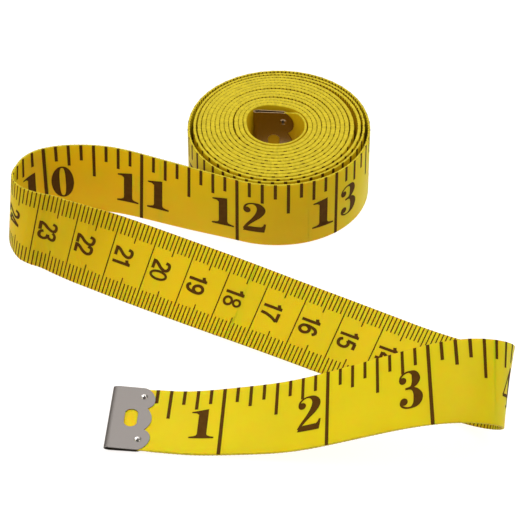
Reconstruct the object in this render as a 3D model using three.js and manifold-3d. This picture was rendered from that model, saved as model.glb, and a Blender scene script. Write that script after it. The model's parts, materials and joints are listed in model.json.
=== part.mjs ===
// A cloth tape measure: one long printed strip with a folded metal tip on each end.
// Most of the strip is wound in a coil that stands on its edge. The free end leaves the coil, turns back
// in a loop on the left, crosses in front of the coil, rolls over in a loop on the right and ends at its tip.
// The strip is cut into stretches at the places where it bends when the tape is unrolled.
import * as THREE from 'three';
import { mergeVertices } from 'three/addons/utils/BufferGeometryUtils.js';
import Module from 'manifold-3d';

const wasm = await Module();
wasm.setup();

// Driving dimensions, in millimetres and degrees.

// The strip
const TAPE_WIDTH = 19.5;
const TAPE_THICKNESS = 0.6;
const SEAM_GAP = 0.3; // between two neighbouring stretches

// The coil. Angles are azimuths about its axis, and it is wound clockwise from the inside out.
const COIL_START_RADIUS = 7.05; // at the middle of the strip's thickness
const COIL_PITCH = 1.138;
const COIL_START_AZIMUTH = 37;
const COIL_EXIT_AZIMUTH = 245;
const COIL_WHOLE_TURNS = 13;
const COIL_RISE = 0.5; // of the inner end above the outer one
const COIL_STEP = 15;

// Places where the winding is slack: the turns outside the given layer, counted from the outside, stand off.
const SLACK = [
  { layer: 8, azimuth: 60, rise: 0.22, spread: 100 },
  { layer: 6, azimuth: 60, rise: 0.22, spread: 100 },
  { layer: 4, azimuth: 10, rise: 0.15, spread: 80 },
  { layer: 3, azimuth: 15, rise: 0.45, spread: 80 },
  { layer: 1, azimuth: -40, rise: 0.6, spread: 75 },
  { layer: 1, azimuth: 95, rise: 0.4, spread: 80 },
  { layer: 1, azimuth: 178, rise: 0.5, spread: 80 },
  { layer: 1, azimuth: 222, rise: 0.4, spread: 60 },
];

// The inner tip's end presses the turns outwards, less and less from turn to turn.
const BULGE = { azimuth: 130, rise: 1.4, spread: 60, turns: 13 };

// The free end's route: the distance from the coil, the turn to the left about the strip's width and the
// twist about its length, both in degrees per centimetre, with straight changes in between.
const ROUTE_LENGTH = 306;
const ROUTE_STEP = 1;
const RUN_SPACING = 2.5; // between the sections of a run
const BEND_SPACING = 1.5; // between the sections of a bend
const ROUTE = [
  { at: 0, turn: 1, twist: 0 },
  { at: 12, turn: -1, twist: 0 },
  { at: 24, turn: 0, twist: 0 },
  { at: 34, turn: 19.5, twist: 0 },
  { at: 42, turn: 14.5, twist: 0 },
  { at: 50, turn: 30.5, twist: 0 },
  { at: 57, turn: 54, twist: 0 },
  { at: 64, turn: 72.5, twist: 0 },
  { at: 71, turn: 57.5, twist: -21.5 },
  { at: 78, turn: 3.5, twist: -17.5 },
  { at: 86, turn: -4, twist: -11.5 },
  { at: 96, turn: -1, twist: -7 },
  { at: 110, turn: -3, twist: -3.5 },
  { at: 130, turn: 2, twist: -5 },
  { at: 150, turn: -0.5, twist: -1 },
  { at: 170, turn: -1.5, twist: -4 },
  { at: 182, turn: -4, twist: 4 },
  { at: 190, turn: -24, twist: 8.5 },
  { at: 198, turn: -47, twist: 13.5 },
  { at: 206, turn: -54, twist: 13 },
  { at: 213, turn: -54, twist: 9.5 },
  { at: 220, turn: -48.5, twist: 12 },
  { at: 228, turn: -15.5, twist: 8 },
  { at: 240, turn: -1, twist: 3 },
  { at: 252, turn: 1.5, twist: 1.5 },
  { at: 264, turn: 13, twist: 3.5 },
  { at: 276, turn: -0.5, twist: 3.5 },
  { at: 288, turn: 13, twist: 4 },
  { at: 295, turn: 0, twist: 0 },
  { at: 307, turn: 0, twist: 0 },
];

// Where the strip bends as it is unrolled or straightened
const PEEL_LINKS = 3; // short stretches of the outer turn that come off the coil one after another
const PEEL_ANGLE = 30; // of the outer turn, for each of them
const LEFT_BENDS = [45, 56, 67];
const RIGHT_BENDS = [197, 208, 219];

// The inner end, which turns in from the first turn and crosses the back of the eye
const CORE_HEADING = 176; // of the straight end, towards its tip
const CORE_CLEARANCE = 0.3; // between the tip's far corner and the first turn
const CORE_BEND_STEPS = 8;

// The end tips: folded plates, staked through the strip
const TIP_LENGTH = 9.9;
const TIP_WALL = 0.3;
const TIP_CLEARANCE = 0.22; // between each leaf and the strip
const TIP_PINCH = 0.4; // the strip's thickness where the tip squeezes it
const TIP_NOTCH = 1.3; // depth of the scalloped edge's two notches
const TIP_NOTCH_INSET = 6.4; // from each side to the nearer notch
const TIP_SHOULDER = 2.5; // where the outer scallops start, short of the tip's length
const TIP_ROUNDING = 0.76; // how full the outer scallops are
const TIP_REACH = 2; // of the outer scallops' curves beyond the tip's length
const TIP_CURVE_STEPS = 6;
const SLOT_CENTRE = 5.0; // from the fold
const SLOT_WIDTH = 3.5;
const SLOT_LENGTH = 5.8;
const STAKE_RADIUS = 0.5;
const STAKE_CLEARANCE = 0.3;
const STAKE_DISTANCE = 7.1; // from the fold
const STAKE_INSET = 2.95; // from each side
const STAKE_SIDES = 12;
const TIP_HINGE_GAP = 1.6; // of strip between the tip and the place where it bends up

// Derived sizes
const COIL_ANGLE = COIL_WHOLE_TURNS * 360 + ((COIL_START_AZIMUTH - COIL_EXIT_AZIMUTH + 720) % 360);
const COIL_EXIT_RADIUS = COIL_START_RADIUS + (COIL_PITCH * COIL_ANGLE) / 360;
const TIP_INNER = TIP_PINCH / 2 + TIP_CLEARANCE; // half the space between the leaves
const TIP_OUTER = TIP_INNER + TIP_WALL;
const TIP_BEND = ROUTE_LENGTH - TIP_LENGTH - TIP_HINGE_GAP;
const PEEL_START = (PEEL_LINKS + 1) * PEEL_ANGLE;

const tapeMaterial = new THREE.MeshStandardMaterial({ color: 0xdcc127, roughness: 0.5, metalness: 0 });
const tipMaterial = new THREE.MeshStandardMaterial({ color: 0xa39b96, roughness: 0.35, metalness: 1 });

const rad = THREE.MathUtils.degToRad;
const up = new THREE.Vector3(0, 0, 1);

// The coil's radius at an angle wound back inwards from the exit.
function coilRadius(angle) {
  let radius = COIL_EXIT_RADIUS - (COIL_PITCH * angle) / 360;
  for (const { layer, azimuth, rise, spread } of SLACK) {
    const centre = ((azimuth - COIL_EXIT_AZIMUTH + 720) % 360) + 360 * (layer - 1);
    const off = ((((angle - centre) % 360) + 540) % 360) - 180;
    if (angle < centre + 180 && Math.abs(off) < spread) {
      radius += rise * Math.cos(rad((off * 90) / spread)) ** 2;
    }
  }
  const off = ((COIL_EXIT_AZIMUTH + angle - BULGE.azimuth + 180) % 360) - 180;
  const depth = 1 - (COIL_ANGLE - angle) / 360 / BULGE.turns;
  if (depth > 0 && Math.abs(off) < BULGE.spread) {
    radius += depth * BULGE.rise * Math.cos(rad((off * 90) / BULGE.spread)) ** 2;
  }
  return radius;
}

function coilPoint(angle) {
  const azimuth = rad(COIL_EXIT_AZIMUTH + angle);
  const radius = coilRadius(angle);
  const height = TAPE_WIDTH / 2 + (COIL_RISE * angle) / COIL_ANGLE;
  return new THREE.Vector3(radius * Math.cos(azimuth), radius * Math.sin(azimuth), height);
}

// A section of the strip: its middle, the way it runs towards the free end, its width and its inch face.
function section(point, along, across) {
  const face = new THREE.Vector3().crossVectors(across, along);
  return { point, along, across, face };
}

function coilSection(angle) {
  const along = coilPoint(angle - 0.5).sub(coilPoint(angle + 0.5)).normalize();
  return section(coilPoint(angle), along, up.clone());
}

// Sections of the coil from one angle down to another, on whole steps in between.
function coilSections(from, to) {
  const sections = [coilSection(from)];
  for (let step = Math.ceil(from / COIL_STEP) - 1; step * COIL_STEP > to; step -= 1) {
    sections.push(coilSection(step * COIL_STEP));
  }
  sections.push(coilSection(to));
  return sections;
}

// The route's turn and twist at a distance from the coil.
function bendAt(distance) {
  const next = ROUTE.findIndex((station) => station.at > distance);
  const b = ROUTE.at(next);
  const a = next > 0 ? ROUTE[next - 1] : b;
  const share = b.at > a.at ? (distance - a.at) / (b.at - a.at) : 0;
  return {
    turn: THREE.MathUtils.lerp(a.turn, b.turn, share),
    twist: THREE.MathUtils.lerp(a.twist, b.twist, share),
  };
}

// The free end's sections, one for each step, followed from the coil's exit.
function followRoute() {
  const sections = [coilSection(0)];
  for (let step = 0; step * ROUTE_STEP < ROUTE_LENGTH; step += 1) {
    const last = sections[step];
    const { turn, twist } = bendAt((step + 0.5) * ROUTE_STEP);
    const spin = last.across.clone().multiplyScalar(turn).addScaledVector(last.along, twist);
    const angle = rad((spin.length() * ROUTE_STEP) / 10);
    spin.normalize();
    const along = last.along.clone().applyAxisAngle(spin, angle);
    const across = last.across.clone().applyAxisAngle(spin, angle);
    const way = along.clone().add(last.along).normalize();
    sections.push(section(last.point.clone().addScaledVector(way, ROUTE_STEP), along, across));
  }
  return sections;
}

const route = followRoute();

function routeSection(distance) {
  const index = Math.min(Math.floor(distance / ROUTE_STEP), route.length - 2);
  const share = distance / ROUTE_STEP - index;
  const [a, b] = [route[index], route[index + 1]];
  const along = a.along.clone().lerp(b.along, share).normalize();
  const across = a.across.clone().lerp(b.across, share).normalize();
  return section(a.point.clone().lerp(b.point, share), along, across);
}

function routeSections(from, to, spacing) {
  const count = Math.max(1, Math.round((to - from) / spacing));
  return Array.from({ length: count + 1 }, (_, i) => routeSection(from + ((to - from) * i) / count));
}

// The inner end: a bend from the first turn into a straight chord of the eye, which lies as far back as the
// tip's far corner can go.
const coreStart = coilSection(COIL_ANGLE);
const coreAngle = CORE_HEADING - 90 - COIL_START_AZIMUTH;
const coreLength = TIP_LENGTH + 2 * SEAM_GAP;

function coreBendRadius(chord) {
  return (chord - COIL_START_RADIUS * Math.cos(rad(coreAngle))) / (1 - Math.cos(rad(coreAngle)));
}

// The room between the first turn and the tip's far corner, for a chord at a distance from the coil's axis.
function coreRoom(chord) {
  const start = (COIL_START_RADIUS - coreBendRadius(chord)) * Math.sin(rad(coreAngle));
  const along = coreLength - start;
  const beside = chord + TIP_OUTER;
  const azimuth = CORE_HEADING - 90 + THREE.MathUtils.radToDeg(Math.atan2(along, beside));
  const wall = coilRadius(COIL_ANGLE - 360 + azimuth - COIL_START_AZIMUTH) - TAPE_THICKNESS / 2;
  return wall - Math.hypot(along, beside);
}

let coreChord = COIL_START_RADIUS;
while (coreRoom(coreChord) < CORE_CLEARANCE) {
  coreChord -= SEAM_GAP / 10;
}
const coreRadius = coreBendRadius(coreChord);
const coreCentre = coreStart.point.clone().setZ(0).setLength(COIL_START_RADIUS - coreRadius);
coreCentre.setZ(coreStart.point.z);

function coreSection(angle) {
  const azimuth = rad(COIL_START_AZIMUTH + angle);
  const outwards = new THREE.Vector3(Math.cos(azimuth), Math.sin(azimuth), 0);
  const point = coreCentre.clone().addScaledVector(outwards, coreRadius);
  return section(point, new THREE.Vector3(outwards.y, -outwards.x, 0), up.clone());
}

function coreSections() {
  const gap = THREE.MathUtils.radToDeg(SEAM_GAP / coreRadius);
  const angles = Array.from({ length: CORE_BEND_STEPS + 1 }, (_, i) =>
    THREE.MathUtils.lerp(gap, coreAngle, i / CORE_BEND_STEPS));
  return angles.map(coreSection).reverse();
}

// A closed strip of the tape's own section through a list of sections.
function stripGeometry(sections) {
  const corners = [[1, 1], [1, -1], [-1, -1], [-1, 1]];
  const positions = [];
  const index = [];
  for (const { point, across, face } of sections) {
    for (const [side, front] of corners) {
      const corner = point.clone()
        .addScaledVector(across, (side * TAPE_WIDTH) / 2)
        .addScaledVector(face, (front * TAPE_THICKNESS) / 2);
      positions.push(corner.x, corner.y, corner.z);
    }
  }
  const last = (sections.length - 1) * 4;
  for (let ring = 0; ring < last; ring += 4) {
    for (let side = 0; side < 4; side += 1) {
      const a = ring + side;
      const b = ring + ((side + 1) % 4);
      index.push(a, b, a + 4, b, b + 4, a + 4);
    }
  }
  index.push(0, 2, 1, 0, 3, 2);
  index.push(last, last + 1, last + 2, last, last + 2, last + 3);
  const geometry = new THREE.BufferGeometry();
  geometry.setAttribute('position', new THREE.Float32BufferAttribute(positions, 3));
  geometry.setIndex(index);
  geometry.computeVertexNormals();
  return geometry;
}

// Solids for joining and cutting
function solid(geometry, matrix = new THREE.Matrix4()) {
  const bare = geometry.clone().applyMatrix4(matrix);
  bare.deleteAttribute('normal');
  bare.deleteAttribute('uv');
  const merged = mergeVertices(bare, 1e-4);
  const vertProperties = new Float32Array(merged.attributes.position.array);
  const triVerts = new Uint32Array(merged.index.array);
  return new wasm.Manifold(new wasm.Mesh({ numProp: 3, vertProperties, triVerts }));
}

function geometryOf(manifold) {
  const mesh = manifold.getMesh();
  const geometry = new THREE.BufferGeometry();
  geometry.setAttribute('position', new THREE.Float32BufferAttribute(mesh.vertProperties, 3));
  geometry.setIndex(Array.from(mesh.triVerts));
  geometry.computeVertexNormals();
  return geometry;
}

function box(x0, x1, width, thickness) {
  const geometry = new THREE.BoxGeometry(x1 - x0, width, thickness);
  return solid(geometry, new THREE.Matrix4().makeTranslation((x0 + x1) / 2, 0, 0));
}

// Two upright rods at the stakes' places, in the tip's own frame.
function stakes(radius, height) {
  const rods = [-1, 1].map((side) => {
    const rod = new THREE.CylinderGeometry(radius, radius, height, STAKE_SIDES);
    const y = side * (TAPE_WIDTH / 2 - STAKE_INSET);
    const place = new THREE.Matrix4().makeTranslation(STAKE_DISTANCE, y, 0);
    return solid(rod, place.multiply(new THREE.Matrix4().makeRotationX(Math.PI / 2)));
  });
  return rods[0].add(rods[1]);
}

// The tip's outline seen flat: three scallops towards the strip, and the slot.
function tipOutline() {
  const half = TAPE_WIDTH / 2;
  const notch = half - TIP_NOTCH_INSET;
  const valley = TIP_LENGTH - TIP_NOTCH;
  const shoulder = TIP_LENGTH - TIP_SHOULDER;
  const crest = TIP_LENGTH + TIP_NOTCH;
  const corner = shoulder + TIP_SHOULDER * TIP_ROUNDING;
  const flank = half - TIP_NOTCH_INSET * TIP_ROUNDING;
  const reach = TIP_LENGTH + TIP_REACH;
  const outline = new THREE.Shape();
  outline.moveTo(-1, -half);
  outline.lineTo(shoulder, -half);
  outline.bezierCurveTo(corner, -half, reach, -flank, valley, -notch);
  outline.quadraticCurveTo(crest, 0, valley, notch);
  outline.bezierCurveTo(reach, flank, corner, half, shoulder, half);
  outline.lineTo(-1, half);
  const slot = new THREE.Path();
  const straight = (SLOT_LENGTH - SLOT_WIDTH) / 2;
  slot.absarc(SLOT_CENTRE, straight, SLOT_WIDTH / 2, 0, Math.PI, false);
  slot.absarc(SLOT_CENTRE, -straight, SLOT_WIDTH / 2, Math.PI, 2 * Math.PI, false);
  outline.holes.push(slot);
  return outline;
}

// The folded plate seen from its side.
function tipProfile() {
  const profile = new THREE.Shape();
  const end = TIP_LENGTH + TIP_NOTCH;
  profile.moveTo(end, TIP_OUTER);
  profile.lineTo(TIP_OUTER, TIP_OUTER);
  profile.absarc(TIP_OUTER, 0, TIP_OUTER, Math.PI / 2, (3 * Math.PI) / 2, false);
  profile.lineTo(end, -TIP_OUTER);
  profile.lineTo(end, -TIP_INNER);
  profile.lineTo(TIP_OUTER, -TIP_INNER);
  profile.absarc(TIP_OUTER, 0, TIP_INNER, (3 * Math.PI) / 2, Math.PI / 2, true);
  profile.lineTo(end, TIP_INNER);
  return profile;
}

function extruded(shape, depth) {
  const options = { depth, bevelEnabled: false, curveSegments: TIP_CURVE_STEPS };
  const geometry = new THREE.ExtrudeGeometry(shape, options);
  return geometry.translate(0, 0, -depth / 2);
}

function tipGeometry() {
  const folded = solid(extruded(tipProfile(), TAPE_WIDTH), new THREE.Matrix4().makeRotationX(Math.PI / 2));
  const flat = solid(extruded(tipOutline(), 4 * TIP_OUTER));
  return geometryOf(folded.intersect(flat).add(stakes(STAKE_RADIUS, 2 * TIP_INNER + TIP_WALL)));
}

// The strip's last stretch: squeezed flat inside the tip and pierced by its stakes.
function tipTape(length) {
  const pinched = box(TIP_OUTER + SEAM_GAP, TIP_LENGTH + SEAM_GAP, TAPE_WIDTH, TIP_PINCH);
  const full = box(TIP_LENGTH + SEAM_GAP - TIP_WALL / 2, length, TAPE_WIDTH, TAPE_THICKNESS);
  return pinched.add(full).subtract(stakes(STAKE_RADIUS + STAKE_CLEARANCE, 4 * TIP_OUTER));
}

const model = new THREE.Group();
const joints = [];

function addPiece(name, geometry, material, parent = model) {
  const mesh = new THREE.Mesh(geometry, material);
  mesh.name = name;
  parent.add(mesh);
}

function addStretch(name, sections) {
  addPiece(name, stripGeometry(sections), tapeMaterial);
}

// A frame at the end of the strip: x from the fold back along the strip, y across it.
function endFrame(end, backwards) {
  const frame = new THREE.Group();
  const x = backwards.clone();
  const z = new THREE.Vector3().crossVectors(x, end.across);
  frame.quaternion.setFromRotationMatrix(new THREE.Matrix4().makeBasis(x, end.across, z));
  frame.position.copy(end.point);
  model.add(frame);
  return frame;
}

function addJoint(name, at, axis) {
  joints.push({ name, point: at.point.clone(), axis: axis.clone() });
}

// The coil and the stretches of its outer turn
const halfGap = SEAM_GAP / 2;
const gapAngle = THREE.MathUtils.radToDeg(halfGap / COIL_EXIT_RADIUS);
addStretch('tape_coil', coilSections(COIL_ANGLE, PEEL_START + gapAngle));
for (let link = 1; link <= PEEL_LINKS; link += 1) {
  const from = PEEL_START - (link - 1) * PEEL_ANGLE;
  addStretch(`tape_peel_${link}`, coilSections(from - gapAngle, from - PEEL_ANGLE + gapAngle));
}
for (let bend = 0; bend <= PEEL_LINKS; bend += 1) {
  addJoint(`unroll_${bend + 1}`, coilSection(PEEL_START - bend * PEEL_ANGLE), up);
}

// The free end
function addRun(name, from, to, spacing) {
  addStretch(name, routeSections(from + halfGap, to - halfGap, spacing));
}

const [left1, left2, left3] = LEFT_BENDS;
const [right1, right2, right3] = RIGHT_BENDS;
const lastOfCoil = coilSections(PEEL_ANGLE - gapAngle, 0);
addStretch('tape_back_run', [...lastOfCoil, ...routeSections(0, left1 - halfGap, RUN_SPACING).slice(1)]);
addRun('tape_left_bend_1', left1, left2, BEND_SPACING);
addRun('tape_left_bend_2', left2, left3, BEND_SPACING);
addRun('tape_middle_run', left3, right1, RUN_SPACING);
addRun('tape_right_bend_1', right1, right2, BEND_SPACING);
addRun('tape_right_bend_2', right2, right3, BEND_SPACING);
addRun('tape_front_run', right3, TIP_BEND, RUN_SPACING);
LEFT_BENDS.forEach((at, i) => addJoint(`left_loop_${i + 1}`, routeSection(at), up.clone().negate()));
RIGHT_BENDS.forEach((at, i) => addJoint(`right_loop_${i + 1}`, routeSection(at), routeSection(at).across));
addJoint('tip_lift', routeSection(TIP_BEND), routeSection(TIP_BEND).across);
addJoint('core_flex', coreStart, up);

// The outer tip on the strip's free end
const outerEnd = routeSection(ROUTE_LENGTH);
const outerFrame = endFrame(outerEnd, outerEnd.along.clone().negate());
addPiece('outer_tip', tipGeometry(), tipMaterial, outerFrame);
const outerLength = TIP_LENGTH + TIP_HINGE_GAP - halfGap;
addPiece('tape_outer_end', geometryOf(tipTape(outerLength)), tapeMaterial, outerFrame);

// The inner tip in the coil's eye
const coreEnd = coreSection(coreAngle);
coreEnd.point.addScaledVector(coreEnd.along, -coreLength);
const coreFrame = endFrame(coreEnd, coreEnd.along);
addPiece('inner_tip', tipGeometry(), tipMaterial, coreFrame);
coreFrame.updateMatrixWorld();
const coreTape = tipTape(coreLength + SEAM_GAP);
const coreBend = solid(stripGeometry(coreSections()), coreFrame.matrixWorld.clone().invert());
addPiece('tape_inner_end', geometryOf(coreTape.add(coreBend)), tapeMaterial, coreFrame);

// The tape's whole length, and the least gap between the coil's turns, measured on points along it
function polylineLength(points) {
  return points.slice(1).reduce((sum, point, i) => sum + point.distanceTo(points[i]), 0);
}

function leastCoilGap() {
  const points = [];
  for (let angle = PEEL_START; angle <= COIL_ANGLE; angle += COIL_STEP / 3) {
    const low = Math.floor(angle / COIL_STEP) * COIL_STEP;
    const share = (angle - low) / COIL_STEP;
    points.push({ angle, at: coilPoint(low).lerp(coilPoint(low + COIL_STEP), share) });
  }
  let least = Infinity;
  for (const a of points) {
    for (const b of points) {
      if (b.angle - a.angle > 180 && b.angle - a.angle < 540) {
        least = Math.min(least, a.at.distanceTo(b.at));
      }
    }
  }
  return least - TAPE_THICKNESS;
}

const coilLine = Array.from({ length: Math.floor(COIL_ANGLE) + 1 }, (_, angle) => coilPoint(angle));
const tapeLength = ROUTE_LENGTH + polylineLength(coilLine) + rad(coreAngle) * coreRadius + coreLength;
const leastGap = leastCoilGap();
console.log(`tape length ${tapeLength.toFixed(1)} mm, least gap between turns ${leastGap.toFixed(2)} mm`);

// The origin goes under the middle of the whole tape, on the surface that it stands on.
const bounds = new THREE.Box3().setFromObject(model, true);
const middle = bounds.getCenter(new THREE.Vector3());
model.position.set(-middle.x, -middle.y, -bounds.min.z);
for (const joint of joints) {
  joint.point.add(model.position);
}
model.userData.joints = joints;

export default model;
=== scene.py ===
"""A cloth tape measure: one printed strip with a folded metal tip on each end, wound in a coil on its edge.

Its free end is laid out in two loose loops. Lengths are in millimetres until a mesh is made, in metres.
"""

import json
import math

import bmesh
import bpy
import numpy as np
from mathutils import Matrix, Vector
from mathutils.geometry import tessellate_polygon


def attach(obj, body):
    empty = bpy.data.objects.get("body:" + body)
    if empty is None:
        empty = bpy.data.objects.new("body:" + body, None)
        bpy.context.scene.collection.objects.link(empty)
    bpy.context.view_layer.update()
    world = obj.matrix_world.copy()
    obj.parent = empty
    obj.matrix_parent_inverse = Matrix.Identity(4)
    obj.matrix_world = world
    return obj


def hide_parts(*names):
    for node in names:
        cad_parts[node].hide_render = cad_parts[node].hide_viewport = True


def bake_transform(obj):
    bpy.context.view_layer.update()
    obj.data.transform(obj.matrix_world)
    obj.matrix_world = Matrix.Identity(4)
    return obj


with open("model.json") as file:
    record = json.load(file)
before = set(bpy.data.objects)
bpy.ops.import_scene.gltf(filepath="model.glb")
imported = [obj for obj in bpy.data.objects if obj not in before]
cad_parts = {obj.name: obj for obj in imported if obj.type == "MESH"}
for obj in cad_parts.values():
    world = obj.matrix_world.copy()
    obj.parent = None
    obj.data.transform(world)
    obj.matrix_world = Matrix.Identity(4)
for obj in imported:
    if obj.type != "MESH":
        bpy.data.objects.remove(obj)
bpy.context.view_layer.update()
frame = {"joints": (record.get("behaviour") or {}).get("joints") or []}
MM = 0.001

# The strip, its coil and its route: the solids' values, but for SLACK, which follows the photo closer
WIDTH = 19.5
THICKNESS = 0.6
EDGE = 0.16  # how far the cut edges are rounded
COIL_START_RADIUS = 7.05
COIL_PITCH = 1.138
COIL_START_AZIMUTH = 37
COIL_EXIT_AZIMUTH = 245
COIL_ANGLE = 13 * 360 + 152
COIL_RISE = 0.5
SLACK = [  # layer from the outside, azimuth, rise, spread
    (10, 80, 0.35, 100),
    (10, 178, 0.25, 80),
    (7, 80, 0.35, 100),
    (4, 10, 0.15, 80),
    (3, 15, 0.7, 80),
    (1, -40, 0.6, 60),
    (1, 178, 0.25, 80),
    (1, 222, 0.4, 60),
]
BULGE_AZIMUTH, BULGE_RISE, BULGE_SPREAD, BULGE_TURNS = 130, 1.4, 60, 13
ROUTE_LENGTH = 306
ROUTE = [  # distance from the coil, turn and twist in degrees per centimetre
    (0, 1, 0),
    (12, -1, 0),
    (24, 0, 0),
    (34, 19.5, 0),
    (42, 14.5, 0),
    (50, 30.5, 0),
    (57, 54, 0),
    (64, 72.5, 0),
    (71, 57.5, -21.5),
    (78, 3.5, -17.5),
    (86, -4, -11.5),
    (96, -1, -7),
    (110, -3, -3.5),
    (130, 2, -5),
    (150, -0.5, -1),
    (170, -1.5, -4),
    (182, -4, 4),
    (190, -24, 8.5),
    (198, -47, 13.5),
    (206, -54, 13),
    (213, -54, 9.5),
    (220, -48.5, 12),
    (228, -15.5, 8),
    (240, -1, 3),
    (252, 1.5, 1.5),
    (264, 13, 3.5),
    (276, -0.5, 3.5),
    (288, 13, 4),
    (295, 0, 0),
    (307, 0, 0),
]
# The soft strip's sway about its length, while the solids stand upright: distance from the coil, degrees, and
# the pivot's place across the strip as a share of its width
LEAN = [
    (0, 0, 0.5),
    (14, 3, 0.5),
    (27, 5, 0.5),
    (36, 6.5, 0.5),
    (44, 5.5, 0.5),
    (50, 2.5, 0.5),
    (55, -2, 0.2),
    (60, -5, 0),
    (68, -5, 0.3),
    (73, -5, 0.5),
    (76, -3, 0.5),
    (81, 2.5, -0.4),
    (88, 4, -0.5),
    (95, 2, 0),
    (110, 0, 0),
    (307, 0, 0),
]
CORE_HEADING = 176
CORE_CHORD = 5.13  # from the coil's axis to the straight inner end
CORE_STRAIGHT = 10.5
TIP_LENGTH = 9.9
SCALE_AT_EXIT = 305.0  # scale value where the strip leaves the coil
JOINTS = {joint["name"]: joint for joint in frame["joints"]}

# The drawn thickness in the coil, where the real turns lie against each other. It grows between two angles in
# from the coil's exit, and goes back to the strip's own between two angles out from the coil's inner start.
WOUND_THICKNESS = 1.07
WOUND_GROWS = (330, 1400)
WOUND_FADES = (330, 90)

# Inside the tips the strip is drawn thinner, and narrower on each side, up to these distances from its ends
TIP_PINCH = 0.26
PINCH_FADES = (9.4, 11.5)
TIP_TRIM = 0.9
TRIM_FADES = (7.0, 8.0)


def smooth(low, high, values):
    share = np.clip((np.asarray(values, float) - low) / (high - low), 0, 1)
    return share * share * (3 - 2 * share)


def coil_radius(angle):
    radius = COIL_START_RADIUS + COIL_PITCH * (COIL_ANGLE - angle) / 360
    for layer, azimuth, rise, spread in SLACK:
        centre = (azimuth - COIL_EXIT_AZIMUTH) % 360 + 360 * (layer - 1)
        off = (angle - centre + 180) % 360 - 180
        if angle < centre + 180 and abs(off) < spread:
            radius += rise * math.cos(math.radians(off * 90 / spread)) ** 2
    off = (COIL_EXIT_AZIMUTH + angle - BULGE_AZIMUTH + 180) % 360 - 180
    depth = 1 - (COIL_ANGLE - angle) / 360 / BULGE_TURNS
    if depth > 0 and abs(off) < BULGE_SPREAD:
        radius += depth * BULGE_RISE * math.cos(math.radians(off * 90 / BULGE_SPREAD)) ** 2
    return radius


def coil_point(angle):
    azimuth = math.radians(COIL_EXIT_AZIMUTH + angle)
    radius = coil_radius(angle)
    height = WIDTH / 2 + COIL_RISE * angle / COIL_ANGLE
    return np.array([radius * math.cos(azimuth), radius * math.sin(azimuth), height])


def rotated(vector, axis, angle):
    """Vector turned about a unit axis."""
    cos, sin = math.cos(angle), math.sin(angle)
    return vector * cos + np.cross(axis, vector) * sin + axis * (axis @ vector) * (1 - cos)


OFFSET = np.array(JOINTS["unroll_1"]["pos_m"]) / MM - coil_point(120)


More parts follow.
